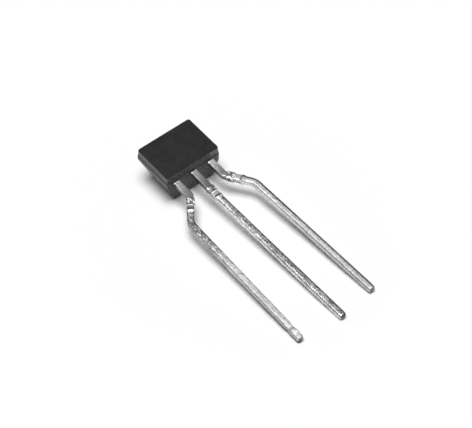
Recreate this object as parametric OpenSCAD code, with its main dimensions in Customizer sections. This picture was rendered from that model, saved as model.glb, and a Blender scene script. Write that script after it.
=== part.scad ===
// Small flat three-lead transistor, lying on a level surface as it comes to rest.
//
// The moulded body is 4 mm wide, 3 mm high and 2.3 mm thick: a shallow front half with a flat
// face, a narrow land round the parting plane and a deeper back half, whose long sides and
// head end slope in to a small back face. Three stamped leads leave its lead end at 1.27 mm
// spacing, and the outer two are formed apart.
// Inside, the collector lead ends in the pad that carries the die, and the outer leads end in
// posts that take the bond wires.
//
// Body frame, before the part is laid down: X runs across the leads from emitter to base,
// Y from the leads (-Y) to the head (+Y) with 0 at the lead end, and Z from the back face to
// the front face with 0 at the back face. All lengths are in millimetres.

/* [Body] */
// Width of the body across the leads, at the land
body_w = 4.0; // [3.8:0.05:4.6]
// Height of the body from its lead end to its head end, at the land
body_h = 3.0; // [2.8:0.05:3.6]
// Thickness of the body from back face to front face
body_t = 2.3; // [2.1:0.05:2.6]
// Depth of the front half, from the front face to the land
front_depth = 0.5; // [0.45:0.05:0.65]
// Draft of the front half's four sides, in degrees
front_draft = 4; // [2:0.5:7]
// Height of the upright land, in which the mould parts
land_h = 0.2; // [0.15:0.01:0.25]
// How far the land stands proud of the front half
land_step = 0.03; // [0.02:0.01:0.05]
// Slope of the back half's long sides, in degrees
side_slope = 19; // [12:1:24]
// Slope of the back half's head end, in degrees
head_slope = 44; // [30:1:46]
// Draft of the back half's lead end, in degrees
lead_end_draft = 2; // [1:0.5:5]
// Radius of the four upright corners at the land
corner_r = 0.2; // [0.15:0.01:0.3]
// Radius of the edges round the back face
back_edge_r = 0.12; // [0.05:0.01:0.2]

/* [Moulding marks] */
// Width of the gate's break mark on the head end
gate_w = 0.8; // [0.5:0.05:1.2]
// Thickness of the gate's break mark
gate_t = 0.12; // [0.08:0.01:0.14]
// How far the gate's break mark stands out of the land
gate_out = 0.04; // [0.02:0.01:0.08]
// Diameter of the ejector pin's mark in the back face
ejector_d = 0.8; // [0.6:0.05:0.9]
// Depth of the ejector pin's mark
ejector_depth = 0.03; // [0.02:0.01:0.06]

/* [Lead stock] */
// Width of a lead
lead_w = 0.45; // [0.38:0.01:0.52]
// Thickness of a lead
lead_t = 0.4; // [0.35:0.01:0.48]
// Radius of a lead's long edges, rounded by its solder coat
lead_edge_r = 0.1; // [0.05:0.01:0.13]
// How far the leads' front faces lie below the front half; the mould parts in their plane
lead_drop = 0.13; // [0.08:0.01:0.15]
// Spacing of the leads where they leave the body
lead_pitch = 1.27; // [1.2:0.01:1.4]
// Length of a lead outside the body, measured along its middle
lead_len = 13.15; // [8:0.05:16]
// Radius of the corners of a lead's cut tip, seen on its broad face
tip_r = 0.12; // [0.05:0.01:0.18]

/* [Dam bar stubs] */
// Distance of the stubs past the end of the first bend, along the lead
stub_gap = 0.05; // [0.02:0.01:0.2]
// Length of a stub along the lead
stub_len = 0.45; // [0.3:0.05:0.6]
// How far a stub stands out of the side of the lead
stub_out = 0.04; // [0.02:0.01:0.08]

/* [Lead forming] */
// Distance of the first bend from the lead end of the body
first_bend = 1.25; // [1.2:0.05:1.5]
// Distance of the second bend from the lead end of the body
second_bend = 2.85; // [2.8:0.05:3.6]
// Sideways shift of the emitter lead between its bends
emitter_shift = 1.22; // [0.8:0.01:1.5]
// Sideways shift of the base lead between its bends
base_shift = 1.08; // [0.8:0.01:1.5]
// Angle at which the emitter lead's shank still leans outwards, in degrees
emitter_splay = 0.9; // [0.3:0.1:3]
// Angle at which the base lead's shank still leans outwards, in degrees
base_splay = 1.3; // [0.3:0.1:3]
// Angle at which the collector lead's shank leans towards the base lead, in degrees
collector_lean = 0.7; // [0.3:0.1:2]
// Radius of the first bend, to the middle of the lead
first_bend_r = 0.5; // [0.35:0.05:0.7]
// Radius of the second bend, to the middle of the lead
second_bend_r = 0.9; // [0.5:0.05:1.2]

/* [Inside the body] */
// Width of the pad that carries the die
pad_w = 1.1; // [0.9:0.05:1.2]
// Length of the pad that carries the die
pad_len = 1.0; // [0.8:0.05:1.2]
// Distance of the pad from the lead end of the body
pad_from_end = 1.2; // [1.1:0.05:1.3]
// Width of a bond post at the inner end of an outer lead
post_w = 0.75; // [0.6:0.05:0.8]
// Length of a bond post
post_len = 0.6; // [0.5:0.05:0.8]
// Distance of the bond posts from the lead end of the body
post_from_end = 0.9; // [0.8:0.05:1.1]
// Side of the square die
die_side = 0.4; // [0.35:0.01:0.5]
// Thickness of the die
die_t = 0.15; // [0.12:0.01:0.2]
// Thickness of the layer that fixes the die to its pad
attach_t = 0.02; // [0.02:0.005:0.04]
// How far that layer reaches past the die on each side
attach_rim = 0.03; // [0.02:0.01:0.05]
// Diameter of a bond wire
wire_d = 0.03; // [0.025:0.005:0.05]
// Diameter of the ball that bonds a wire to the die
ball_d = 0.09; // [0.07:0.01:0.12]
// Thickness of the ball
ball_t = 0.02; // [0.015:0.005:0.03]
// Distance of each ball from the middle of the die
ball_from_middle = 0.11; // [0.08:0.01:0.13]
// Height of a wire's upright stretch above its ball
wire_rise = 0.05; // [0.03:0.01:0.1]
// Radius of the bend at the top of a wire's loop
loop_r = 0.08; // [0.06:0.01:0.12]

/* [Hidden] */
$fn = 48;

// The emitter lead is on the -X side of the body, and the base lead on the +X side
emitter_side = -1;
base_side = 1;

// Levels, measured up from the back face: the upper and the lower edge of the land, and the
// leads' back faces, which carry the die and take the wires
land_top_z = body_t - front_depth;
land_low_z = land_top_z - land_h;
lead_low_z = land_top_z - lead_drop - lead_t;

// Front half: its outline where it meets the land, and how far each side leans in
front_root_w = body_w - 2 * land_step;
front_root_h = body_h - 2 * land_step;
front_corner_r = corner_r - land_step;
front_inset = front_depth * tan(front_draft);

// Middle of the pad and of each bond post
pad_mid_y = pad_from_end + pad_len / 2;
post_mid_y = post_from_end + post_len / 2;

// How far the rounded lead stock reaches into the pad or the post, and the size at which
// leads and wires are drawn before they are enlarged
tail_overlap = post_len / 3;
small = 0.01;

// Back half: how far a side that leans in by slope degrees ends inside the land, and how far
// the round at its foot reaches along the back face
function foot_inset(slope) = land_low_z * tan(slope);
function round_run(slope) = back_edge_r * tan(45 - slope / 2);

// Size of a bend by its turn and radius: the run from its corner to where the straight begins
function bend_run(turn, radius) = radius * tan(turn / 2);
function arc_len(turn, radius) = radius * turn * PI / 180;

// An outer lead runs straight, turns outwards, runs across, and turns back into its shank
function kink_turn(shift) = atan(shift / (second_bend - first_bend));
function first_run(shift) = first_bend - bend_run(kink_turn(shift), first_bend_r);
function cross_len(shift, splay) =
    norm([shift, second_bend - first_bend])
    - bend_run(kink_turn(shift), first_bend_r)
    - bend_run(kink_turn(shift) - splay, second_bend_r);
function shank_len(shift, splay) =
    lead_len
    - first_run(shift)
    - arc_len(kink_turn(shift), first_bend_r)
    - cross_len(shift, splay)
    - arc_len(kink_turn(shift) - splay, second_bend_r);
function shank_from_corner(shift, splay) =
    bend_run(kink_turn(shift) - splay, second_bend_r) + shank_len(shift, splay);
function outer_tip_x(shift, splay) =
    lead_pitch + shift + shank_from_corner(shift, splay) * sin(splay);
function outer_tip_y(shift, splay) =
    -second_bend - shank_from_corner(shift, splay) * cos(splay);

// The dam bar joined all three leads at the same distance from the body, measured along them
stub_from_body =
    first_run(emitter_shift) + arc_len(kink_turn(emitter_shift), first_bend_r) + stub_gap;

// The collector lead starts to lean just past its stubs, in one long gentle bend
lean_bend_r = 30;
lean_start = stub_from_body + stub_len + stub_gap;
lean_shank_len = lead_len - lean_start - arc_len(collector_lean, lean_bend_r);
collector_tip_y =
    -lean_start - lean_bend_r * sin(collector_lean) - lean_shank_len * cos(collector_lean);

// The part rests on the back edge of its lead end and on the tip of the collector lead. Both
// are rounded, so the tilt is the slope of the line that touches two circles from below.
rest_y = foot_inset(lead_end_draft) + round_run(lead_end_draft);
tip_round_y = collector_tip_y + lead_edge_r * cos(collector_lean);
rest_run = rest_y - tip_round_y;
rest_rise = lead_low_z + lead_edge_r - back_edge_r;
tilt = atan(rest_rise / rest_run)
    + asin((back_edge_r - lead_edge_r) / norm([rest_run, rest_rise]));
drop = back_edge_r - rest_y * sin(tilt) - back_edge_r * cos(tilt);

// The origin is under the middle of the part's outline as it lies. At the head end that outline
// reaches as far as the gate's mark, the lower edge of the land or the round of the back edge.
emitter_reach = outer_tip_x(emitter_shift, emitter_splay) + lead_w / 2 * cos(emitter_splay);
base_reach = outer_tip_x(base_shift, base_splay) + lead_w / 2 * cos(base_splay);
middle_x = (base_reach - emitter_reach) / 2;
head_round_y = body_h - foot_inset(head_slope) - round_run(head_slope);
head_y = max(
    (body_h + gate_out) * cos(tilt) - (land_top_z - gate_t) * sin(tilt),
    body_h * cos(tilt) - land_low_z * sin(tilt),
    head_round_y * cos(tilt) + back_edge_r * (1 - sin(tilt))
);
foot_y = tip_round_y * cos(tilt) - (lead_low_z + lead_t - lead_edge_r) * sin(tilt) - lead_edge_r;
middle_y = (head_y + foot_y) / 2;

// Lays the part down: leads towards -Y, resting on Z = 0
module as_it_lies() {
    translate([-middle_x, -middle_y, drop])
        rotate([tilt, 0, 0])
            children();
}

// ---- Moulded body ----

// Square-cornered outline with its four corners rounded, centred on the origin
module rounded_rect(w, h, r) {
    square([w - 2 * r, h], center = true);
    square([w, h - 2 * r], center = true);
    for (x = [-1, 1], y = [-1, 1])
        translate([x * (w / 2 - r), y * (h / 2 - r)])
            circle(r);
}

// Front half: a drafted block on a rounded outline. Two wedges cross in plan, and a cone
// fills each of the four corners.
module front_half() {
    root_x = front_root_w / 2 - front_corner_r;
    root_y = front_root_h / 2 - front_corner_r;
    translate([0, body_h / 2, land_top_z]) {
        rotate([90, 0, 0])
            linear_extrude(2 * root_y, center = true)
                drafted_profile(front_root_w);
        rotate([90, 0, 90])
            linear_extrude(2 * root_x, center = true)
                drafted_profile(front_root_h);
        for (x = [-1, 1], y = [-1, 1])
            translate([x * root_x, y * root_y, 0])
                cylinder(h = front_depth, r1 = front_corner_r, r2 = front_corner_r - front_inset);
    }
}

// Section through the front half: wide at the land, narrower at the front face
module drafted_profile(root) {
    polygon([
        [-root / 2, 0],
        [root / 2, 0],
        [root / 2 - front_inset, front_depth],
        [-root / 2 + front_inset, front_depth]
    ]);
}

// Section through the back half. It is upright over the land, and below that its two sides
// lean in, each by its own slope in degrees, and end in a rounded corner.
module back_profile(width, right_slope, left_slope) {
    intersection() {
        translate([-width / 2, 0])
            square([width, land_top_z]);
        leaning_side(width, right_slope);
        mirror([1, 0])
            leaning_side(width, left_slope);
    }
}

// Everything on the inner side of the +X side and its rounded foot. It is drawn about the middle
// of the round, so that the bottom and the side both touch the circle exactly.
module leaning_side(width, slope) {
    foot = width / 2 - foot_inset(slope);
    translate([foot - round_run(slope), back_edge_r]) {
        translate([-width, -back_edge_r])
            square([width, body_t]);
        rotate(-slope) {
            translate([back_edge_r - width / 2, 0])
                square([width / 2, 2 * body_t]);
            circle(back_edge_r);
        }
    }
}

// Back half with the land: its long sides and its head end slope in, and its lead end is
// almost upright
module back_half() {
    intersection() {
        translate([0, body_h, 0])
            rotate([90, 0, 0])
                linear_extrude(body_h)
                    back_profile(body_w, side_slope, side_slope);
        translate([0, body_h / 2, 0])
            rotate([90, 0, 90])
                linear_extrude(body_w, center = true)
                    back_profile(body_h, head_slope, lead_end_draft);
        translate([0, body_h / 2, 0])
            linear_extrude(land_top_z)
                rounded_rect(body_w, body_h, corner_r);
    }
}

// Break mark where the gate of the mould was snapped off, on the head end's land
module gate_mark() {
    translate([-gate_w / 2, body_h - corner_r, land_top_z - gate_t])
        cube([gate_w, corner_r + gate_out, gate_t]);
}

// Shallow round mark of the ejector pin in the middle of the back face
module ejector_mark() {
    translate([0, (rest_y + head_round_y) / 2, -ejector_depth])
        cylinder(h = 2 * ejector_depth, d = ejector_d);
}

module body_solid() {
    difference() {
        union() {
            front_half();
            back_half();
            gate_mark();
        }
        ejector_mark();
    }
}

// The epoxy is moulded round everything inside it, and fits it without a gap
module moulded_body() {
    color([0.16, 0.16, 0.17])
        as_it_lies()
            difference() {
                body_solid();
                emitter_lead_shape();
                collector_lead_shape();
                base_lead_shape();
                die_attach_shape();
                silicon_die_shape();
                bond_wire_shape(emitter_side);
                bond_wire_shape(base_side);
            }
}

// ---- Leads ----

// The stretches and bends of a lead or a wire meet end to end. They are drawn at a hundredth
// of their size and enlarged together, so that rounded coordinates can't part them.
module drawn_small() {
    scale(1 / small)
        children();
}

// Section of the lead stock: a rectangle whose four corners are rounded
module stock_section(extra_w = 0) {
    rounded_rect(lead_w + extra_w, lead_t, lead_edge_r);
}

// Straight stretch of the section that is its child, from the origin towards -Y
module straight(length) {
    rotate([90, 0, 0])
        linear_extrude(small * length)
            scale(small)
                children();
}

// Bend of the section that is its child, which starts at the origin towards -Y and turns
// towards +X
module bend(turn, radius) {
    translate([small * radius, 0, 0])
        rotate([0, 0, 180])
            rotate_extrude(angle = turn)
                scale(small)
                    translate([radius, 0])
                        children();
}

// Turns about the middle of such a bend, from its start to its end
module past_bend(turn, radius) {
    translate([small * radius, 0, 0])
        rotate([0, 0, turn])
            translate([-small * radius, 0, 0])
                children();
}

// Last stretch, whose cut tip is rounded on its broad faces and over its thickness
module shank(length) {
    intersection() {
        straight(length)
            stock_section();
        translate([0, 0, -small * lead_t / 2])
            linear_extrude(small * lead_t)
                shank_outline(lead_w, length, tip_r);
        rotate([0, 90, 0])
            linear_extrude(small * lead_w, center = true)
                shank_outline(lead_t, length, lead_edge_r);
    }
}

// Outline of the shank from above or from the side: round corners at its far end only
module shank_outline(width, length, r) {
    scale(small) {
        translate([-width / 2, -length + r])
            square([width, length - r]);
        translate([-width / 2 + r, -length])
            square([width - 2 * r, length]);
        for (side = [-1, 1])
            translate([side * (width / 2 - r), -length + r])
                circle(r);
    }
}

// Lead stock along a list of steps. Each step but the last is [length, turn, radius]: a
// straight stretch and then a bend, towards +X for a positive turn and -X for a negative one.
// A fourth number is the place of the dam bar's stubs along that stretch. The last step is
// the [length] of the shank.
module formed_stock(steps, i = 0) {
    length = steps[i][0];
    stub_at = steps[i][3];
    if (stub_at != undef)
        dam_bar_stubs(stub_at);
    if (i == len(steps) - 1) {
        shank(length);
    } else {
        turn = steps[i][1];
        radius = sign(turn) * steps[i][2];
        straight(length)
            stock_section();
        translate([0, -small * length, 0]) {
            mirror([turn < 0 ? 1 : 0, 0, 0])
                bend(abs(turn), abs(radius))
                    stock_section();
            past_bend(turn, radius)
                formed_stock(steps, i + 1);
        }
    }
}

// Sheared stubs of the dam bar that joined the leads while the body was moulded
module dam_bar_stubs(place) {
    translate([0, -small * place, 0])
        straight(stub_len)
            stock_section(2 * stub_out);
}

// Flat end of a lead inside the body, as thick as the stock: the pad or a post
module flat_end(width, length, from_end) {
    translate([-width / 2, from_end, 0])
        cube([width, length, lead_t]);
}

// Outer lead, drawn for the base side: tail, first bend, cross stretch, second bend, shank
module outer_lead(shift, splay) {
    turn = kink_turn(shift);
    tail = post_from_end + tail_overlap;
    translate([lead_pitch, 0, lead_low_z]) {
        translate([0, tail, lead_t / 2])
            drawn_small()
                formed_stock([
                    [tail + first_run(shift), turn, first_bend_r],
                    [cross_len(shift, splay), splay - turn, second_bend_r, stub_gap],
                    [shank_len(shift, splay)]
                ]);
        flat_end(post_w, post_len, post_from_end);
    }
}

module emitter_lead_shape() {
    mirror([1, 0, 0])
        outer_lead(emitter_shift, emitter_splay);
}

module base_lead_shape() {
    outer_lead(base_shift, base_splay);
}

// Centre lead: its tail ends in the pad that carries the die
module collector_lead_shape() {
    tail = pad_from_end + tail_overlap;
    translate([0, 0, lead_low_z]) {
        translate([0, tail, lead_t / 2])
            drawn_small()
                formed_stock([
                    [
                        tail + lean_start,
                        collector_lean,
                        lean_bend_r,
                        tail + stub_from_body
                    ],
                    [lean_shank_len]
                ]);
        flat_end(pad_w, pad_len, pad_from_end);
    }
}

module emitter_lead() {
    color([0.78, 0.78, 0.77])
        as_it_lies()
            emitter_lead_shape();
}

module collector_lead() {
    color([0.78, 0.78, 0.77])
        as_it_lies()
            collector_lead_shape();
}

module base_lead() {
    color([0.78, 0.78, 0.77])
        as_it_lies()
            base_lead_shape();
}

// ---- Die and wires, on the side of the pad that faces the deeper back half ----

// Square layer centred on the pad, which reaches down from a depth below the pad's face
module pad_layer(side, depth, thickness) {
    translate([-side / 2, pad_mid_y - side / 2, lead_low_z - depth])
        mirror([0, 0, 1])
            cube([side, side, thickness]);
}

module die_attach_shape() {
    pad_layer(die_side + 2 * attach_rim, 0, attach_t);
}

module silicon_die_shape() {
    pad_layer(die_side, attach_t, die_t);
}

module die_attach() {
    color([0.70, 0.68, 0.62])
        as_it_lies()
            die_attach_shape();
}

module silicon_die() {
    color([0.35, 0.37, 0.42])
        as_it_lies()
            silicon_die_shape();
}

// A bond wire leaves its ball on the die upright, bends over and slopes to its post, where it
// is cut off level with the post's face. Its slope is that of the line that touches the loop
// and meets the post's face in the middle.
module bond_wire_shape(side) {
    ball = [side * ball_from_middle, pad_mid_y];
    post = [side * lead_pitch, post_mid_y];
    span = norm(post - ball);
    heading = atan2(post[1] - ball[1], post[0] - ball[0]);
    rise = ball_t + wire_rise;
    stack = attach_t + die_t;
    slope = wire_slope(span, rise + stack);
    slope_len = (span - loop_r * (1 + sin(slope))) / cos(slope);
    overshoot = wire_d / tan(slope);
    depth = stack + rise + loop_r + wire_d;
    intersection() {
        translate([ball[0], ball[1], lead_low_z - stack])
            rotate([0, 0, heading])
                rotate([90, 0, 0]) {
                    drawn_small() {
                        straight(rise)
                            circle(d = wire_d);
                        translate([0, -small * rise, 0]) {
                            bend(90 + slope, loop_r)
                                circle(d = wire_d);
                            past_bend(90 + slope, loop_r)
                                straight(slope_len + overshoot)
                                    circle(d = wire_d);
                        }
                    }
                    rotate([90, 0, 0])
                        cylinder(h = ball_t, d = ball_d);
                }
        translate([-body_w / 2, 0, lead_low_z - depth])
            cube([body_w, body_h, depth]);
    }
}

// Solves span = loop_r * (1 + sin s) + (fall + loop_r * cos s) / tan s for the slope s
function wire_slope(span, fall) =
    2 * atan2(
        fall + loop_r,
        span - loop_r + sqrt((span - loop_r) ^ 2 + fall ^ 2 - loop_r ^ 2)
    );

module emitter_bond_wire() {
    color([0.90, 0.75, 0.35])
        as_it_lies()
            bond_wire_shape(emitter_side);
}

module base_bond_wire() {
    color([0.90, 0.75, 0.35])
        as_it_lies()
            bond_wire_shape(base_side);
}

moulded_body();
emitter_lead();
collector_lead();
base_lead();
silicon_die();
die_attach();
emitter_bond_wire();
base_bond_wire();
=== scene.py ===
# %% [markdown] # Small flat three-lead transistor The solid model gives every piece its true
# size and place. This script gives them their looks: a matt black moulded body and three leads
# with a thick, slightly lumpy coat of solder. They are never moved, only dressed or stood in
# for.

# %% Load the solids
import math

import bpy
from mathutils import Matrix, Vector, noise


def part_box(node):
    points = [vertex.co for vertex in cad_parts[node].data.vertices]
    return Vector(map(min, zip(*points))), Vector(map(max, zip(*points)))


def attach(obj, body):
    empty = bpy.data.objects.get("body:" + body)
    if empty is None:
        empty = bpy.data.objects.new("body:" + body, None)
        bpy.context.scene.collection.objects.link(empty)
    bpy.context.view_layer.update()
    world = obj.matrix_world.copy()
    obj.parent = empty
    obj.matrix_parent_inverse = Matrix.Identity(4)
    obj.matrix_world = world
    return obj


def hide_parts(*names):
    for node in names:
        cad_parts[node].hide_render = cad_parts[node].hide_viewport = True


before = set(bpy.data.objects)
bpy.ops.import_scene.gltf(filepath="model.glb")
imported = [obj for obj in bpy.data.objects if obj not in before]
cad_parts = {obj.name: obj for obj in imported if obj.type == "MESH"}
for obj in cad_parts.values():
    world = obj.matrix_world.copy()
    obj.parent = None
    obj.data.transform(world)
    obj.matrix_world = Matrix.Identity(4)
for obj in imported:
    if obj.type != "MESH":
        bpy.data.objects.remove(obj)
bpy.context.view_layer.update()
MM = 0.001
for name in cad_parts:
    low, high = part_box(name)
    print(name, [round((b - a) / MM, 3) for a, b in zip(low, high)], "mm")

# %% [markdown]
# ## Camera
# A part this small is shown through a long lens from well away, so that the leads stay almost
# parallel. A wide-angle lens close by would fan them out. The camera is placed by the direction
# it looks in, by where it stands, and by a slight roll about its own axis. The shift moves the
# frame by half a pixel, which lines its middle up with the middle of a pixel.

# %% Camera
IMAGE_W = 472
LENS, SENSOR = 110.0, 36.0
AZIMUTH, ELEVATION, ROLL = (math.radians(angle) for angle in (35.73, 49.16, -4.67))
CAMERA_AT = Vector((-31.891, -43.283, 64.334)) * MM
HALF_PIXEL = 0.5 / IMAGE_W

right = Vector((math.cos(AZIMUTH), -math.sin(AZIMUTH), 0.0))
away = Vector((math.sin(AZIMUTH), math.cos(AZIMUTH), 0.0))
forward = away * math.cos(ELEVATION) - Vector((0, 0, math.sin(ELEVATION)))
up = right.cross(forward)
rolled_right = right * math.cos(ROLL) + up * math.sin(ROLL)
rolled_up = up * math.cos(ROLL) - right * math.sin(ROLL)

camera = bpy.data.objects.new("camera", bpy.data.cameras.new("camera"))
bpy.context.scene.collection.objects.link(camera)
camera.data.lens = LENS
camera.data.sensor_width = SENSOR
camera.data.clip_start = 0.001
camera.data.clip_end = 5.0
camera.data.shift_x = -HALF_PIXEL
camera.data.shift_y = HALF_PIXEL
turn = Matrix((rolled_right, rolled_up, -forward)).transposed().to_4x4()
camera.matrix_world = Matrix.Translation(CAMERA_AT) @ turn
bpy.context.scene.camera = camera
print("camera looks along", [round(v, 3) for v in forward])

# %% [markdown]
# ## Shader maths
# Every finish below is a small sum over the surface: masks, noises and mixes. In the node editor
# that is a web of boxes and wires. Here one class wraps a socket, so that `1 - mask` adds the
# Math node by itself, and one method, `node`, makes any other kind of node. `Signal(tree)` with
# no socket is an empty start, from which `node` can make the first one.

# %% A socket that can be added and multiplied
class Signal:
    def __init__(self, tree, socket=None):
        self.tree = tree
        self.socket = socket

    def node(self, kind, settings=None, sockets=None, out=0):
        made = self.tree.nodes.new(kind)
        for key, value in (settings or {}).items():
            setattr(made, key, value)
        for key, value in (sockets or {}).items():
            if isinstance(value, Signal):
                self.tree.links.new(value.socket, made.inputs[key])
            else:
                made.inputs[key].default_value = value
        return Signal(self.tree, made.outputs[out])

    def maths(self, operation, *values):
        return self.node("ShaderNodeMath", {"operation": operation}, dict(enumerate(values)))

    def __add__(self, other):
        return self.maths("ADD", self, other)

    def __sub__(self, other):
        return self.maths("SUBTRACT", self, other)

    def __rsub__(self, other):
        return self.maths("SUBTRACT", other, self)

    def __mul__(self, other):
        return self.maths("MULTIPLY", self, other)

    __radd__ = __add__
    __rmul__ = __mul__

    def step(self, start, end):
        """0 below start, 1 above end and a smooth rise between."""
        return self.node(
            "ShaderNodeMapRange",
            {"interpolation_type": "SMOOTHSTEP"},
            {"Value": self, "From Min": start, "From Max": end},
        )

    def band(self, start, end, soft):
        """1 between start and end, and 0 outside them."""
        return self.step(start - soft, start) * (1 - self.step(end, end + soft))

    def mix(self, low, high):
        """Colour low where this is 0, and colour high where it is 1."""
        return self.node(
            "ShaderNodeMix",
            {"data_type": "RGBA"},
            {"Factor": self, 6: low, 7: high},
            out=2,
        )

    def stretched(self, x, y, z):
        """A place whose axes are multiplied, so that a noise on it is drawn out."""
        return self.node(
            "ShaderNodeVectorMath", {"operation": "MULTIPLY"}, {0: self, 1: (x, y, z)}
        )

    def axis(self, letter):
        return self.node("ShaderNodeSeparateXYZ", sockets={0: self}, out="XYZ".index(letter))

    def noise(self, scale, detail=2.0, roughness=0.5):
        return self.node(
            "ShaderNodeTexNoise",
            sockets={"Vector": self, "Scale": scale, "Detail": detail, "Roughness": roughness},
        )

    def bump(self, strength, distance_mm, **sockets):
        """A Normal that takes this as its height."""
        settings = {"Strength": strength, "Distance": distance_mm * MM, "Height": self}
        return self.node("ShaderNodeBump", sockets={**settings, **sockets})


print("a socket takes", [name for name in vars(Signal) if not name.startswith("_")])

# %% [markdown]
# ## Helpers for a material
# Each material starts the same way: a Principled shader and the surface's place in millimetres,
# so that the scale of a noise can be read as so many grains to a millimetre. Its place comes
# from the object's own coordinates, which no camera or window can move.

# %% Start a material, drive a socket
def grey(level):
    """A grey, a trace cooler than neutral."""
    return (level, level, level * 1.01, 1.0)


def new_material(name):
    """A material, its Principled shader and the surface's place in millimetres."""
    material = bpy.data.materials.new(name)
    material.use_nodes = True
    tree = material.node_tree
    shader = tree.nodes["Principled BSDF"]
    place = Signal(tree).node("ShaderNodeTexCoord", out="Object")
    return material, shader, place.stretched(1 / MM, 1 / MM, 1 / MM)


def drive(shader, socket, signal):
    signal.tree.links.new(signal.socket, shader.inputs[socket])


print("a mid grey is", grey(0.5))

# %% [markdown]
# ## Sheet
# The part lies on a plain white sheet that reaches far beyond the view. It has no gloss, because
# a sheen would lift the shadows.

# %% White sheet
scene = bpy.context.scene
scene.view_settings.view_transform = "Standard"

SHEET_REACH = 3.0
corners = [(-1, -1), (1, -1), (1, 1), (-1, 1)]
floor_mesh = bpy.data.meshes.new("floor")
floor_mesh.from_pydata([(x * SHEET_REACH, y * SHEET_REACH, 0) for x, y in corners], [], [(0, 1, 2, 3)])
floor = bpy.data.objects.new("floor", floor_mesh)
scene.collection.objects.link(floor)
sheet, sheet_shader, _ = new_material("white_sheet")
sheet_shader.inputs["Base Color"].default_value = (0.96, 0.96, 0.96, 1.0)
sheet_shader.inputs["Roughness"].default_value = 0.9
sheet_shader.inputs["Specular IOR Level"].default_value = 0.0
floor_mesh.materials.append(sheet)
print("sheet", 2 * SHEET_REACH, "m wide")

# %% [markdown]
# ## Light
# One wide lamp stands almost straight overhead in a dim room. It is a sun lamp, 36 degrees wide,
# which is how a large soft box close by looks from the part, so each lead gets a soft shadow
# right below it. A narrow sun would give the shadows hard edges, and an evenly white room would
# leave none. A band of white near the horizon stands for the far end of the sheet. It gives the
# walls of the body and the sides of the leads something bright to mirror.

# %% Room and lamp
ROOM, FAR_SHEET = 0.05, 1.0
BAND_TOP, BAND_GONE = 0.17, 0.30
world = bpy.data.worlds.new("dim_room")
scene.world = world
world.use_nodes = True
sky_height = Signal(world.node_tree).node("ShaderNodeTexCoord", out="Generated").axis("Z")
brightness = sky_height.step(BAND_TOP, BAND_GONE).mix(grey(FAR_SHEET), grey(ROOM))
background = world.node_tree.nodes["Background"]
world.node_tree.links.new(brightness.socket, background.inputs["Color"])
background.inputs["Strength"].default_value = 1.0

light = bpy.data.lights.new("soft_box", "SUN")
light.angle = math.radians(36)
light.energy = 2.98
lamp = bpy.data.objects.new("soft_box", light)
lamp.location = (-0.08, -0.05, 1.0)
lamp.rotation_mode = "QUATERNION"
lamp.rotation_quaternion = (-lamp.location).to_track_quat("-Z", "Y")
scene.collection.objects.link(lamp)
print("soft box", round(math.degrees(light.angle)), "degrees wide over a white sheet")

# %% [markdown]
# ## How the part lies
# The part rests on the back edge of its body and on the tip of its middle lead, so it is tilted
# a little. The leads below are written in the body's own upright frame, in millimetres, where
# the lead end of the body is at y = 0 and its back at z = 0. The die is a plain block that is
# square to that frame, so its solid shows both the tilt and the place. A tilt typed in here
# would be simpler, but would leave the leads behind if the solids came to lie another way.

# %% From the body's own frame to the sheet
DIE_MIDDLE = Vector((0.0, 1.7, 1.175))

die_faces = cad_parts["silicon_die"].data.polygons
die_up = max((face.normal for face in die_faces), key=lambda normal: normal.z)
tilt = math.atan2(-die_up.y, die_up.z)
tilted = Matrix.Rotation(tilt, 3, "X")
die_low, die_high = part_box("silicon_die")
at_rest = (Vector(die_low) + Vector(die_high)) / (2 * MM) - tilted @ DIE_MIDDLE


def lay_down(point):
    """A point of the body's own frame, in mm, tilted and placed as it lies, in metres."""
    return (tilted @ Vector(point) + at_rest) * MM


print("tilted by", round(math.degrees(tilt), 3), "degrees")
print("lead end meets back, before rounding, at", [round(v, 3) for v in at_rest], "mm")

# %% [markdown]
# ## Moulded body
# The body is black epoxy from a steel mould. The mould's flat face is fine, so that a marking takes,
# and its upright walls are coarser, so they scatter more light and look greyer. The upright walls also
# get a painted sheen, a lighter grey for the bright sheet they mirror, while faces that lean under
# keep the dark tone as painted shade. The lead end, where the mould closes on the strip, is the
# grainiest, and one upper corner of it carries a painted highlight. A separate material for each face
# would show a hard seam where two of them meet, so one colour is mixed from all of these by soft
# masks.

# %% Tone of the epoxy
FACE_DARK, FACE_LIGHT = grey(0.008), grey(0.014)
# Walls: coarse grain and a painted sheen, lighter than the flat face.
WALL_GRAIN_AND_SHEEN_DARK, WALL_GRAIN_AND_SHEEN_LIGHT = grey(0.045), grey(0.11)
END_DARK, END_LIGHT = grey(0.0), grey(0.075)
# A painted highlight on the upper corner of the lead end, on the base lead's side.
CORNER_GLINT_DARK, CORNER_GLINT_LIGHT = grey(0.06), grey(0.16)
CORNER_GLINT_FROM_X, CORNER_GLINT_FROM_Z = (1.2, 1.4), (1.86, 1.92)


def epoxy_tone(place, upright, lead_end, grain, patches):
    cloudy = (patches * 0.7 + grain * 0.3).step(0.3, 0.7)
    # Upright walls get the lighter tone as a painted sheen; faces that lean under keep the face tone
    # as painted shade.
    face_and_walls = upright.mix(cloudy.mix(FACE_DARK, FACE_LIGHT), grain.mix(WALL_GRAIN_AND_SHEEN_DARK, WALL_GRAIN_AND_SHEEN_LIGHT))
    # Painted highlight: the upper corner of the lead end is lighter.
    painted_corner_glint = place.axis("X").step(*CORNER_GLINT_FROM_X) * place.axis("Z").step(*CORNER_GLINT_FROM_Z)
    end = painted_corner_glint.mix(grain.mix(END_DARK, END_LIGHT), grain.mix(CORNER_GLINT_DARK, CORNER_GLINT_LIGHT))
    return lead_end.mix(face_and_walls, end)


print("walls are", round(WALL_GRAIN_AND_SHEEN_LIGHT[0] / FACE_LIGHT[0], 1), "times as light as the flat face")

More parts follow.
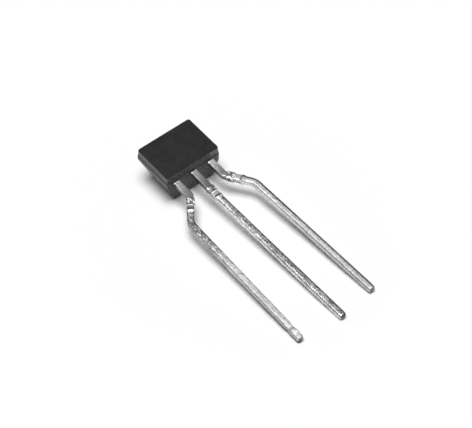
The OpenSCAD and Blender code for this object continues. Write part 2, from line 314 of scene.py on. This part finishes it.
# %% [markdown]
# The masks come from the direction and place of the surface as it lies, so they stay where they
# are however the part is seen. Only the lead end's mask is measured along the tilted body. Grain
# this fine is a bump, because modelling it would take millions of faces. A Bevel node rounds the
# light over the sharp edges by the width of a hair.

# %% Epoxy
FACES_UP, FACES_UNDER = (0.75, 0.95), (-0.25, -0.1)
END_SKIN = (0.05, 0.1)
EPOXY_ROUGH = 0.35
EDGE_ROUND = 0.04


def epoxy_material():
    material, shader, place = new_material("black_epoxy")
    facing_up = place.node("ShaderNodeTexCoord", out="Normal").axis("Z")
    wall = 1 - facing_up.step(*FACES_UP)
    # Walls that face sideways carry the painted sheen; those that lean under do not, as painted shade.
    upright = wall * facing_up.step(*FACES_UNDER)
    length = tilted @ Vector((0, 1, 0))
    from_end = place.axis("Y") * length.y + place.axis("Z") * length.z - at_rest.dot(length)
    lead_end = 1 - from_end.step(*END_SKIN)
    coarse = (wall + lead_end).step(0.0, 0.9)
    grain = place.noise(8.0, detail=3.0, roughness=0.7).step(0.35, 0.65)
    patches = place.noise(2.2, detail=3.0)
    drive(shader, "Base Color", epoxy_tone(place, upright, lead_end, grain, patches))
    uneven = (patches - 0.5) * 0.1 + coarse * (grain - 0.5) * 0.1
    drive(shader, "Roughness", EPOXY_ROUGH + uneven)
    soft_edge = place.node("ShaderNodeBevel", {"samples": 6}, {"Radius": EDGE_ROUND * MM})
    drive(shader, "Normal", (grain * (0.2 + coarse * 0.8)).bump(0.7, 0.03, Normal=soft_edge))
    return material


def give(node_name, material):
    """Puts one material in all of a solid's slots."""
    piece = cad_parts[node_name]
    for slot in piece.material_slots:
        slot.material = material
    print(node_name, "takes", material.name)


give("moulded_body", epoxy_material())

# %% [markdown]
# ## Die, its solder and the bond wires
# These lie inside the epoxy and never show. They keep the solids' shape and get the plain
# finish of what they are: polished silicon, soft solder and drawn gold.

# %% Inner pieces
def inner_material(name, colour, roughness, metallic):
    material, shader, place = new_material(name)
    shade = place.noise(20.0)
    darker = tuple(c * 0.8 for c in colour)
    drive(shader, "Base Color", shade.mix((*darker, 1.0), (*colour, 1.0)))
    shader.inputs["Roughness"].default_value = roughness
    shader.inputs["Metallic"].default_value = metallic
    return material


give("silicon_die", inner_material("silicon", (0.20, 0.21, 0.25), 0.15, 0.6))
give("die_attach", inner_material("soft_solder", (0.62, 0.61, 0.58), 0.4, 1.0))
gold = inner_material("gold", (0.95, 0.68, 0.28), 0.25, 1.0)
give("emitter_bond_wire", gold)
give("base_bond_wire", gold)

# %% [markdown]
# ## Path of a lead
# The leads are cut from flat strip and bent in its plane, so the middle of each is a line of
# straights and arcs seen from above. A curve object with a bevel could follow it, but then the
# section couldn't change along the way. So the line is walked in small steps, and each step
# gets its own section: bare metal near the body, then the stubs, then the thick solder.

# %% Walk along a straight, then round a bend
STEP = 0.025


def straight(x, y, heading, travelled, length):
    """Rows of (x, y, heading, distance) along a straight, and where it ends."""
    count = max(1, round(length / STEP))
    rows = []
    for i in range(count):
        d = length * i / count
        rows.append((x + d * math.sin(heading), y - d * math.cos(heading), heading, travelled + d))
    x += length * math.sin(heading)
    y -= length * math.cos(heading)
    return rows, (x, y, heading, travelled + length)


def bend(x, y, heading, travelled, turn, radius):
    """Rows round an arc that turns the heading, and where it ends."""
    arc = abs(turn) * radius
    count = max(2, round(arc / STEP))
    swing = math.copysign(radius, turn)
    centre_x = x + swing * math.cos(heading)
    centre_y = y + swing * math.sin(heading)
    rows = []
    for i in range(count + 1):
        h = heading + turn * i / count
        row_x = centre_x - swing * math.cos(h)
        row_y = centre_y - swing * math.sin(h)
        rows.append((row_x, row_y, h, travelled + arc * i / count))
    return rows[:-1], rows[-1]


def walk(x, y, steps):
    """Rows along all the steps of a lead, from inside the body to the tip."""
    rows = []
    here = (x, y, 0.0, -y)
    for length, turn, radius in steps:
        part, here = straight(*here, length)
        rows += part
        if turn:
            part, here = bend(*here, turn, radius)
            rows += part
    return rows + [here]


print("a lead is drawn with", round(1 / STEP), "sections to a millimetre")

# %% [markdown]
# ## Three leads, two shapes
# The outer leads are formed apart in two bends, and a trace of splay is left in them. The middle
# lead runs straight past its stub and then leans a hair to one side. The stubs of the dam bar,
# which held the leads together in the strip, are all at one distance. Mirroring one outer lead
# would be shorter, but the two were bent by different amounts.

# %% Paths of the three leads
PITCH = 1.27
LEAD_LEN = 13.15
FIRST_BEND, SECOND_BEND = 1.25, 2.85
FIRST_RADIUS, SECOND_RADIUS = 0.5, 0.9
OUTER_TAIL, MIDDLE_TAIL = 1.1, 1.4
EMITTER_SHIFT, EMITTER_SPLAY = 1.22, math.radians(0.9)
BASE_SHIFT, BASE_SPLAY = 1.08, math.radians(1.3)
STUB_LEN, STUB_GAP = 0.45, 0.05
LEAN, LEAN_RADIUS = math.radians(0.7), 30.0


def outer_path(shift, splay):
    """The rows of an outer lead, and the distance at which its stub starts."""
    turn = math.atan2(shift, SECOND_BEND - FIRST_BEND)
    first_half = FIRST_RADIUS * math.tan(turn / 2)
    second_half = SECOND_RADIUS * math.tan((turn - splay) / 2)
    first_run = FIRST_BEND - first_half
    cross_run = math.hypot(shift, SECOND_BEND - FIRST_BEND) - first_half - second_half
    bends = FIRST_RADIUS * turn + SECOND_RADIUS * (turn - splay)
    steps = [
        (OUTER_TAIL + first_run, turn, FIRST_RADIUS),
        (cross_run, splay - turn, SECOND_RADIUS),
        (LEAD_LEN - first_run - cross_run - bends, 0, 0),
    ]
    return walk(PITCH, OUTER_TAIL, steps), first_run + FIRST_RADIUS * turn + STUB_GAP


left_hand_rows, stub_at = outer_path(EMITTER_SHIFT, EMITTER_SPLAY)
emitter_rows = [(-x, y, -heading, s) for x, y, heading, s in left_hand_rows]
base_rows, _ = outer_path(BASE_SHIFT, BASE_SPLAY)
lean_start = stub_at + STUB_LEN + STUB_GAP
lean_run = LEAD_LEN - lean_start - LEAN * LEAN_RADIUS
collector_rows = walk(
    0.0, MIDDLE_TAIL, [(MIDDLE_TAIL + lean_start, LEAN, LEAN_RADIUS), (lean_run, 0, 0)]
)
print("stubs start", round(stub_at, 3), "mm from the body")
for rows in (emitter_rows, collector_rows, base_rows):
    print("tip at", [round(value, 3) for value in rows[-1][:2]])

# %% [markdown]
# ## Section of a lead
# Near the body the strip is bare: flat faces and small edge rounds. At the stubs the dam bar
# was sheared off, which leaves a wider, rough place. Beyond them the lead was dipped in
# solder, and surface tension pulls the coat into a rounder section with a thick first ridge.
# The coat rounds the cut tip over too. A superellipse makes all of these: its power says how
# square it is.

# %% Section
AROUND = 44
HALF_W, HALF_T = 0.225, 0.2
BARE_W, BARE_T, BARE_SOFT = 0.014, 0.012, 0.06
STUB_PROUD, STUB_EDGE = 0.048, 0.015
NECK_W, NECK_T, NECK_LONG, NECK_BEFORE, NECK_AFTER = 0.02, 0.006, 0.05, 0.07, 0.53
RIDGE_W, RIDGE_T, RIDGE_LONG, RIDGE_AFTER = 0.018, 0.032, 0.10, 0.12
COAT_SOFT, COAT_GROWS = 0.1, 0.3
TIP_R, TIP_SOFT = 0.15, 0.4
SQUARE, ROUNDER, TIP_ROUNDER = 12.0, 7.0, 2.0


def smooth(value, start, end):
    t = min(1.0, max(0.0, (value - start) / (end - start)))
    return t * t * (3 - 2 * t)


def hill(value, middle, width):
    return math.exp(-(((value - middle) / width) ** 2))


def section(s, look):
    """Half width, half thickness and squareness at distance s, in mm, and how coated it is."""
    coat_from = look["coat_from"]
    bare = smooth(s, 0.0, BARE_SOFT)
    bare *= 1 - smooth(s, coat_from - COAT_SOFT, coat_from + COAT_SOFT)
    stub_on = smooth(s, stub_at - STUB_EDGE, stub_at + STUB_EDGE)
    stub_off = smooth(s, stub_at + STUB_LEN - STUB_EDGE, stub_at + STUB_LEN + STUB_EDGE)
    second_neck = hill(s, stub_at + NECK_AFTER, NECK_LONG)
    necks = hill(s, stub_at - NECK_BEFORE, NECK_LONG) + second_neck
    ridge = hill(s, coat_from + RIDGE_AFTER, RIDGE_LONG)
    pinch = sum(depth * hill(s, middle, width) for middle, width, depth in look["pinches"])
    coated = smooth(s, coat_from, coat_from + COAT_GROWS)
    to_tip = LEAD_LEN - s
    cut = 0.0
    if to_tip < TIP_R:
        cut = TIP_R - math.sqrt(max(0.0, TIP_R**2 - (TIP_R - to_tip) ** 2))
    half_w = HALF_W - BARE_W * bare + STUB_PROUD * stub_on * (1 - stub_off)
    half_w += RIDGE_W * ridge - NECK_W * necks - pinch - cut
    half_t = HALF_T - BARE_T * bare + RIDGE_T * ridge - NECK_T * second_neck - pinch - cut
    power = SQUARE - ROUNDER * coated - TIP_ROUNDER * (1 - smooth(to_tip, 0.0, TIP_SOFT))
    return half_w, half_t, power, coated


plain = {"coat_from": 2.25, "pinches": []}
for s in (1.0, stub_at + STUB_LEN / 2, 8.0, LEAD_LEN):
    sizes = [round(value, 3) for value in section(s, plain)[:3]]
    print("at", round(s, 2), "mm, half width, half thickness and power:", sizes)

# %% [markdown]
# ## Lead as a mesh
# Ring after ring of points goes round the sections. A smooth noise pushes the coated rings in
# and out a little, which gives the lumps of dipped solder as real shape, so they also show in
# the outline, as a bump wouldn't. Each point stores how far along the lead it lies, and where
# across and up its section, for the finish to read.

# %% One ring
LEAD_MID_Z = 1.27 + HALF_T
LUMP_ALONG, LUMP_ROUND = 1.1, 0.9
FINE_LUMPS, FINE_SHARE = 3.1, 0.3


def signed_power(value, power):
    return math.copysign(abs(value) ** power, value)


def ring(x, y, heading, s, look):
    """The points of one ring, and for each (along, across, rise)."""
    half_w, half_t, power, coated = section(s, look)
    points, places = [], []
    for k in range(AROUND):
        angle = 2 * math.pi * k / AROUND
        across = signed_power(math.cos(angle), 2 / power)
        rise = signed_power(math.sin(angle), 2 / power)
        spot = Vector((s * LUMP_ALONG, across * LUMP_ROUND, rise * LUMP_ROUND + look["seed"]))
        lump = noise.noise(spot) + FINE_SHARE * noise.noise(spot * FINE_LUMPS)
        keep = 1 - coated * look["lumps"] * (0.5 + 0.5 * lump)
        out = across * half_w * keep
        up_z = LEAD_MID_Z + rise * half_t * keep
        points.append(lay_down((x + out * math.cos(heading), y + out * math.sin(heading), up_z)))
        places.append((s, across, rise))
    return points, places


print("each ring has", AROUND, "points")

# %% [markdown]
# Each ring is joined to the next by quads, and the two ends are closed. The order of a face's
# corners decides which way it faces, so it is kept the same all round. The pad or post inside
# the body is a plain flat piece of the same strip, added as a box.

# %% Faces, pad and mesh
BOX_FACES = ((0, 1, 3, 2), (4, 6, 7, 5), (0, 4, 5, 1), (2, 3, 7, 6), (0, 2, 6, 4), (1, 5, 7, 3))


def tube_faces(count):
    """Quads between neighbouring rings, and a cap at each end, all facing outwards."""
    faces = []
    for r in range(count - 1):
        a, b = r * AROUND, (r + 1) * AROUND
        for k in range(AROUND):
            n = (k + 1) % AROUND
            faces.append((a + k, a + n, b + n, b + k))
    last = (count - 1) * AROUND
    faces.append(tuple(reversed(range(AROUND))))
    faces.append(tuple(range(last, last + AROUND)))
    return faces


def flat_corners(width, length, from_end, middle):
    """The corners of a pad or post inside the body."""
    points, places = [], []
    for x in (middle - width / 2, middle + width / 2):
        for y in (from_end, from_end + length):
            for z in (LEAD_MID_Z - HALF_T, LEAD_MID_Z + HALF_T):
                points.append(lay_down((x, y, z)))
                places.append((-y, 0.0, 0.0))
    return points, places


def lead_mesh(name, rows, look, flat):
    points, places = [], []
    for row in rows:
        ring_points, ring_places = ring(*row, look)
        points += ring_points
        places += ring_places
    tube = tube_faces(len(rows))
    box = [tuple(len(points) + i for i in face) for face in BOX_FACES]
    flat_points, flat_places = flat_corners(*flat)
    mesh = bpy.data.meshes.new(name)
    mesh.from_pydata(points + flat_points, [], tube + box)
    for i, key in enumerate(("along", "across", "rise")):
        values = [place[i] for place in places + flat_places]
        mesh.attributes.new(key, "FLOAT", "POINT").data.foreach_set("value", values)
    round_faces = len(tube) - 2
    mesh.polygons.foreach_set("use_smooth", [i < round_faces for i in range(len(tube + box))])
    mesh.validate()
    mesh.update()
    piece = bpy.data.objects.new(name, mesh)
    scene.collection.objects.link(piece)
    print(name, len(mesh.polygons), "faces")
    return piece


# %% [markdown]
# ## Solder
# Dipped solder is bright metal with a fine, streaky grain where it froze, so it is never one even
# grey. Its cut end, where the coat is thin, is darker. Painted shade darkens the low side of the
# emitter and base leads, more towards the tip, where it faces its own shadow on the sheet, and darkens
# the upper left edge of every lead, where it dims the lamp's glint. The right side gets painted shade
# on the collector and base leads and painted light on the emitter lead far out. How light a flat top
# looks depends on its roughness, because smooth metal mirrors the dim room and rougher metal scatters
# the lamp. A single metal colour with a bump would miss both. The places that were stored on the mesh
# say which finish is where.

# %% Tone of the coat
FADE = (4.8, 7.4)
PAINTED_LOW_SHADE, PAINTED_LOW_SHADE_GROWS = (-0.4, 0.6), (7.0, 11.5)
GLINT_EDGE_SHADE, PAINTED_RIGHT_SIDE = (0.5, 0.72), (0.4, 0.95)
TIP_DARKENS = (10.0, 12.5)
CUT_END, CUT_DARK = (LEAD_LEN - 0.10, LEAD_LEN - 0.02), 0.6


def coat_tone(look, along, across, rise, far, patchy, grain):
    """How light the solder is: by where on the lead, by patches and by grain, with painted shade on
    the low side and the upper left edge, and painted light or shade on the right side.
    """
    near_tone, far_tone = look["tone"]
    near_grainy, far_grainy = look["grainy"]
    near_painted_right, far_painted_right = look["painted_right_light"]
    grainy = near_grainy + far * (far_grainy - near_grainy)
    # Painted shade: the low side of the lead is darker, more so towards the tip, where it faces its
    # own shadow on the sheet.
    painted_low_shade = (1 - rise.step(*PAINTED_LOW_SHADE)) * look["low_side_shade"]
    painted_low_shade = painted_low_shade * (0.2 + along.step(*PAINTED_LOW_SHADE_GROWS) * 0.8)
    tip = along.step(*TIP_DARKENS) * look["tip_dark"]
    cut_end = along.step(*CUT_END) * CUT_DARK
    # Painted shade on the upper left edge dims the lamp's glint there.
    painted_edge_shade = (across * rise * -1).step(*GLINT_EDGE_SHADE) * (0.1 + far * 0.25)
    # Painted light or shade on the right side, set for each lead.
    painted_right_side = across.step(*PAINTED_RIGHT_SIDE) * (near_painted_right + far * (far_painted_right - near_painted_right))
    tone = near_tone + far * (far_tone - near_tone)
    tone = tone * (1.15 - patchy * look["patch_dark"]) * (1 + grainy * (grain - 0.55))
    tone = tone * (1 - painted_low_shade) * (1 - tip) * (1 - cut_end)
    tone = tone * (1 - painted_edge_shade) * (1 + painted_right_side)
    return tone.mix(grey(0.0), grey(1.0))


print("the finish changes from near to far between", FADE, "mm")

# %% [markdown]
# ## Bare metal and torn stubs
# Close to the body the strip only has its thin plating, which is duller and darkens towards the stub.
# Its sides and lower face get painted shade, for the dark body and shadowed sheet they face. The
# sheared stubs are torn metal: light, with dark spots where the shear tore it.

# %% Tone of the bare metal
TORN_LIGHT, TORN_DARK, TORN_SPOTS = grey(0.95), grey(0.16), (0.44, 0.52)
stub_end = stub_at + STUB_LEN
PLATING_FADES, PLATING_DARK = (0.1, 1.2), 0.45
PLATING_ENDS = (stub_at + 0.3, stub_end + 0.05)
NECK_STARTS = (stub_end - 0.05, stub_end + 0.05)
UNDERSIDE, UNDERSIDE_PAINTED_SHADE = (-0.2, 0.95), 0.7


def bare_tone(look, along, rise, streaks, grain):
    before_stub = along.step(*PLATING_FADES) * (1 - along.step(*PLATING_ENDS))
    after_stub = along.step(*NECK_STARTS) * look["neck_light"]
    # Painted shade: the sides and lower face of the bare strip are darker, as they mirror the dark
    # body and the shadowed sheet.
    painted_underside_shade = 1 - rise.step(*UNDERSIDE)
    worn = (streaks - 0.5) * 0.9 + (grain - 0.5) * 0.25
    tone = (1 - before_stub * PLATING_DARK) * (1 - painted_underside_shade * UNDERSIDE_PAINTED_SHADE) * (1 + worn)
    return (tone * (1 + after_stub) * look["bare"]).mix(grey(0.0), grey(1.0))


def torn_tone(streaks):
    return streaks.step(*TORN_SPOTS).mix(TORN_LIGHT, TORN_DARK)


print("a torn stub goes from", TORN_DARK[0], "to", TORN_LIGHT[0])

# %% [markdown]
# ## Finish of a lead
# Four noises of different sizes stand for what the solder shows: streaks along the dip, wider
# blotches, crystal grain and fine speckle. The same four drive tone, roughness and bump, so that
# a dark patch is also a smoother one. Noises of their own for each would look like dirt.

# %% Lead finish
BARE_ROUGH, TORN_ROUGHER = 0.36, 0.10
COAT_STARTS = (-0.05, 0.12)
STUB_SOFT = 0.03


def lead_material(name, look):
    material, shader, place = new_material(name)
    along, across, rise = (
        place.node("ShaderNodeAttribute", {"attribute_name": key}, out=2)
        for key in ("along", "across", "rise")
    )
    coat = (along - look["coat_from"]).step(*COAT_STARTS)
    stub = along.band(stub_at, stub_end, STUB_SOFT)
    far = along.step(*FADE)
    streaks = place.stretched(1.0, 0.3, 1.0).noise(8.0, detail=4.0, roughness=0.65)
    blotches = place.stretched(1.0, 0.5, 1.0).noise(2.6, detail=3.0, roughness=0.6)
    speckle = place.noise(15.0, detail=3.0, roughness=0.7)
    grain = place.stretched(1.0, 0.7, 1.0).noise(9.0, detail=2.0, roughness=0.6).step(0.36, 0.64)
    mottle = (streaks * 0.4 + blotches * 0.35 + speckle * 0.25).step(0.40, 0.60)
    patchy = coat * mottle * (1 - far * (1 - look["far_patchy"]))

    solder = coat_tone(look, along, across, rise, far, patchy, grain)
    colour = coat.mix(bare_tone(look, along, rise, streaks, grain), solder)
    drive(shader, "Base Color", stub.mix(colour, torn_tone(streaks)))
    shader.inputs["Metallic"].default_value = 1.0

    near_rough, far_rough = look["rough"]
    left = 1 - across.step(*look["turn"])
    rough = near_rough + far * (far_rough - near_rough) + left * look["left_rougher"]
    rough = rough - patchy * 0.06 + (speckle - 0.5) * 0.1
    rough = coat * (rough - BARE_ROUGH) + BARE_ROUGH + stub * TORN_ROUGHER
    drive(shader, "Roughness", rough)

    frozen = coat * (streaks * 0.5 + blotches * 0.4 + speckle * 0.2)
    torn = stub * (streaks * 1.2 + grain * 0.25)
    drive(shader, "Normal", (frozen + speckle * 0.1 + torn).bump(look["bump"], 0.05))
    return material


# %% [markdown]
# ## Three leads dipped by hand
# No two leads come out of the solder alike, so each has its own look. A pair of numbers is the
# value near the body and the value near the tip. The emitter lead is dark and grainy near its
# bend and pale beyond, with a pinched tip. The collector lead is mottled all along. The base
# lead is the smoothest and mirrors the most.

# %% Looks of the leads
# In each look, the darkening of the low side is painted shade, and the lightening or darkening of the
# right side is painted light or shade.
LOOKS = {
    "emitter_lead": dict(
        seed=3.0, coat_from=2.2, lumps=0.07, pinches=[(12.2, 0.18, 0.035), (12.75, 0.12, 0.012)],
        tone=(0.48, 0.55), grainy=(1.0, 0.35), far_patchy=0.2, patch_dark=0.7,
        low_side_shade=0.75, tip_dark=0.0, painted_right_light=(0.0, 0.55), bare=0.72, neck_light=0.0,
        rough=(0.42, 0.50), left_rougher=0.0, turn=(-0.3, 0.3), bump=0.6,
    ),
    "collector_lead": dict(
        seed=7.0, coat_from=2.25, lumps=0.045, pinches=[],
        tone=(0.76, 0.64), grainy=(0.6, 0.6), far_patchy=1.0, patch_dark=0.45,
        low_side_shade=0.0, tip_dark=0.2, painted_right_light=(-0.25, -0.25), bare=0.62, neck_light=0.9,
        rough=(0.34, 0.33), left_rougher=0.0, turn=(-0.3, 0.3), bump=0.45,
    ),
    "base_lead": dict(
        seed=11.0, coat_from=2.3, lumps=0.03, pinches=[],
        tone=(0.66, 0.58), grainy=(0.3, 0.3), far_patchy=1.0, patch_dark=0.25,
        low_side_shade=0.25, tip_dark=0.15, painted_right_light=(-0.5, -0.35), bare=0.9, neck_light=0.2,
        rough=(0.27, 0.33), left_rougher=0.20, turn=(0.0, 0.5), bump=0.5,
    ),
}
print("looks for", list(LOOKS))

# %% [markdown]
# ## Leads in place of their solids
# Each dressed lead stands in for its solid, which stays hidden in the same place, and rides on
# the same body.

# %% Dressed leads
ROWS = {"emitter_lead": emitter_rows, "collector_lead": collector_rows, "base_lead": base_rows}
POST_W, POST_LEN, POST_FROM = 0.75, 0.6, 0.9
PAD_W, PAD_LEN, PAD_FROM = 1.1, 1.0, 1.2
FLATS = {
    "emitter_lead": (POST_W, POST_LEN, POST_FROM, -PITCH),
    "collector_lead": (PAD_W, PAD_LEN, PAD_FROM, 0.0),
    "base_lead": (POST_W, POST_LEN, POST_FROM, PITCH),
}

for lead, look in LOOKS.items():
    piece = lead_mesh(lead + "_dipped", ROWS[lead], look, FLATS[lead])
    piece.data.materials.append(lead_material(lead + "_finish", look))
    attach(piece, "root")
    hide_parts(lead)
